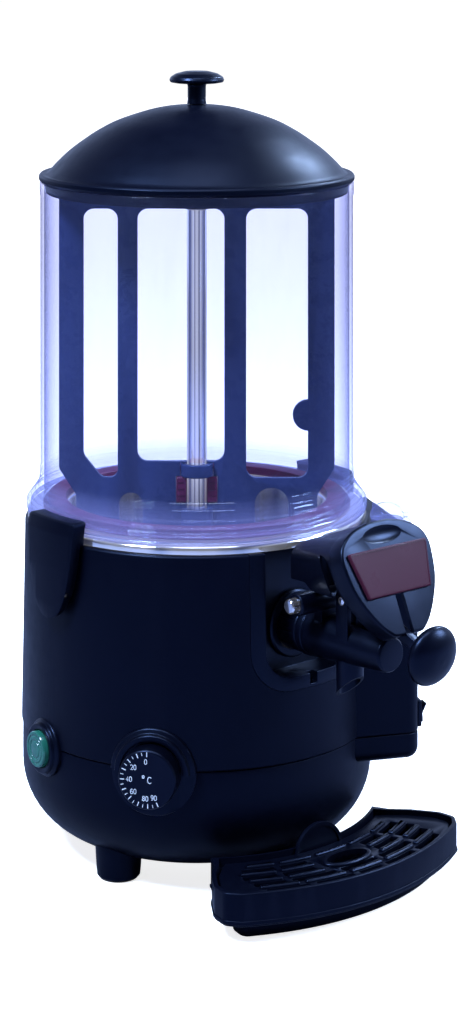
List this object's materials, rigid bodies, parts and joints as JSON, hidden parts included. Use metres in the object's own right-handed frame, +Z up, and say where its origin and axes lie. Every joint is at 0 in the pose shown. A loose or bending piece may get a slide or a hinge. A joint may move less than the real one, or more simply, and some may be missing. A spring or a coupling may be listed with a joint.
{
  "type": "heated liquid dispenser",
  "caption": "Counter-top heated dispenser: clear stirred tank on a steel water bath, black casing, dial, lit button, lever tap under a shield cover, crescent drip tray.",
  "frame": {"origin": "on the tank and stirrer axis, at the underside of the base plate; the feet reach 13 mm lower", "axes": "+Z up, the tap points along -Y (front), +X is to the right of someone facing the tap"},
  "size_m": [0.3098, 0.4127, 0.5805],
  "materials": {
    "casing_black": "satin moulded",
    "trim_black": "semi-gloss moulded",
    "clear_tank": "polished clear",
    "polished_steel": "polished",
    "satin_steel": "satin",
    "plated_steel": "zinc plated",
    "red_silicone": "smooth silicone",
    "stirrer_plastic": "smooth moulded",
    "badge_maroon": "glossy",
    "green_lens": "lit translucent",
    "black_rubber": "matt",
    "white_nylon": "machined",
    "grey_casting": "die cast"
  },
  "bodies": {
    "housing": {"upper_casing": "casing_black", "lower_casing": "casing_black", "base_plate": "plated_steel", "foot_1": "casing_black", "foot_2": "casing_black", "foot_3": "casing_black", "foot_4": "casing_black", "foot_5": "casing_black", "water_bath": "polished_steel", "product_pan": "satin_steel", "tank_gasket": "red_silicone", "tank": "clear_tank", "centre_tube": "polished_steel", "bush_top": "white_nylon", "bush_bottom": "white_nylon", "gear_case": "grey_casting", "motor_can": "plated_steel", "motor_bracket": "plated_steel", "heating_ring": "satin_steel", "thermostat": "grey_casting", "dial_bezel": "trim_black", "button_bezel": "trim_black", "switch_block": "stirrer_plastic", "terminal_block": "white_nylon", "cord_gland": "black_rubber", "rocker_frame": "trim_black", "filler_neck": "clear_tank", "latch_pin_left": "polished_steel", "latch_pin_right": "polished_steel", "front_insert": "casing_black", "tap_nut": "trim_black", "tap_seal": "red_silicone", "tap_body": "trim_black", "lever_pivot": "satin_steel", "return_spring": "satin_steel", "tap_cover": "casing_black", "badge_plate": "badge_maroon"},
    "lid_body": {"lid": "trim_black", "lid_knob": "trim_black", "knob_nut": "plated_steel"},
    "stirrer": {"drive_shaft": "satin_steel", "stirrer_board": "stirrer_plastic", "stirrer_clip": "trim_black", "stirrer_wiper": "red_silicone", "stirrer_cap": "trim_black", "output_gear": "white_nylon"},
    "motor_rotor": {"motor_pinion": "satin_steel"},
    "dial": {"dial_knob": "trim_black"},
    "button": {"power_button": "green_lens"},
    "rocker_body": {"rocker": "trim_black"},
    "lever": {"tap_lever": "trim_black", "lever_ball": "trim_black"},
    "plunger": {"tap_plunger": "white_nylon", "plunger_ring": "red_silicone"},
    "lock_pin_body": {"lock_pin": "polished_steel"},
    "latch_left_body": {"latch_left": "trim_black"},
    "latch_right_body": {"latch_right": "trim_black"},
    "tray": {"drip_tray": "casing_black"},
    "grid": {"drip_grid": "casing_black"},
    "filler_cap_body": {"filler_cap": "clear_tank"}
  },
  "joints": [
    {"name": "lid_lift", "type": "slide", "parent": "housing", "child": "lid_body", "axis": [0, 0, 1], "range_m": [0, 0.12]},
    {"name": "stirrer_spin", "type": "hinge", "parent": "housing", "child": "stirrer", "pos_m": [0, 0, 0.3], "axis": [0, 0, 1], "continuous": true},
    {"name": "motor_spin", "type": "hinge", "parent": "housing", "child": "motor_rotor", "pos_m": [0, 0.03, 0.1], "axis": [0, 0, 1], "continuous": true},
    {"name": "dial_turn", "type": "hinge", "parent": "housing", "child": "dial", "pos_m": [-0.11181, -0.08425, 0.08], "axis": [0.7986, 0.6018, 0], "range_deg": [0, 205]},
    {"name": "button_press", "type": "slide", "parent": "housing", "child": "button", "axis": [0.9936, -0.1132, 0], "range_m": [0, 0.0025], "stiffness_N_per_m": 800},
    {"name": "rocker_tilt", "type": "hinge", "parent": "housing", "child": "rocker_body", "pos_m": [0.10637, -0.13225, 0.0923], "axis": [-0.4131, -0.9107, 0], "range_deg": [0, 16]},
    {"name": "lever_lift", "type": "hinge", "parent": "housing", "child": "lever", "pos_m": [0, -0.176, 0.205], "axis": [-1, 0, 0], "range_deg": [0, 18]},
    {"name": "plunger_slide", "type": "slide", "parent": "housing", "child": "plunger", "axis": [0, -1, 0], "range_m": [0, 0.01005]},
    {"name": "lock_pin_pull", "type": "slide", "parent": "housing", "child": "lock_pin_body", "axis": [-1, 0, 0], "range_m": [0, 0.01]},
    {"name": "latch_left_swing", "type": "hinge", "parent": "housing", "child": "latch_left_body", "pos_m": [-0.137, 0, 0.197], "axis": [0, -1, 0], "range_deg": [0, 14]},
    {"name": "latch_right_swing", "type": "hinge", "parent": "housing", "child": "latch_right_body", "pos_m": [0.137, 0, 0.197], "axis": [0, 1, 0], "range_deg": [0, 14]},
    {"name": "tray_slide", "type": "slide", "parent": "housing", "child": "tray", "axis": [0, -1, 0], "range_m": [0, 0.12]},
    {"name": "grid_lift", "type": "slide", "parent": "tray", "child": "grid", "axis": [0, 0, 1], "range_m": [0, 0.035]},
    {"name": "filler_cap_open", "type": "hinge", "parent": "housing", "child": "filler_cap_body", "pos_m": [0.10542, -0.12029, 0.2366], "axis": [0.4131, 0.9107, 0], "range_deg": [0, 100]}
  ],
  "couplings": [
    {"joint": "motor_spin", "follows": "stirrer_spin", "ratio": -4},
    {"joint": "plunger_slide", "follows": "lever_lift", "m_per_rad": 0.032}
  ]
}
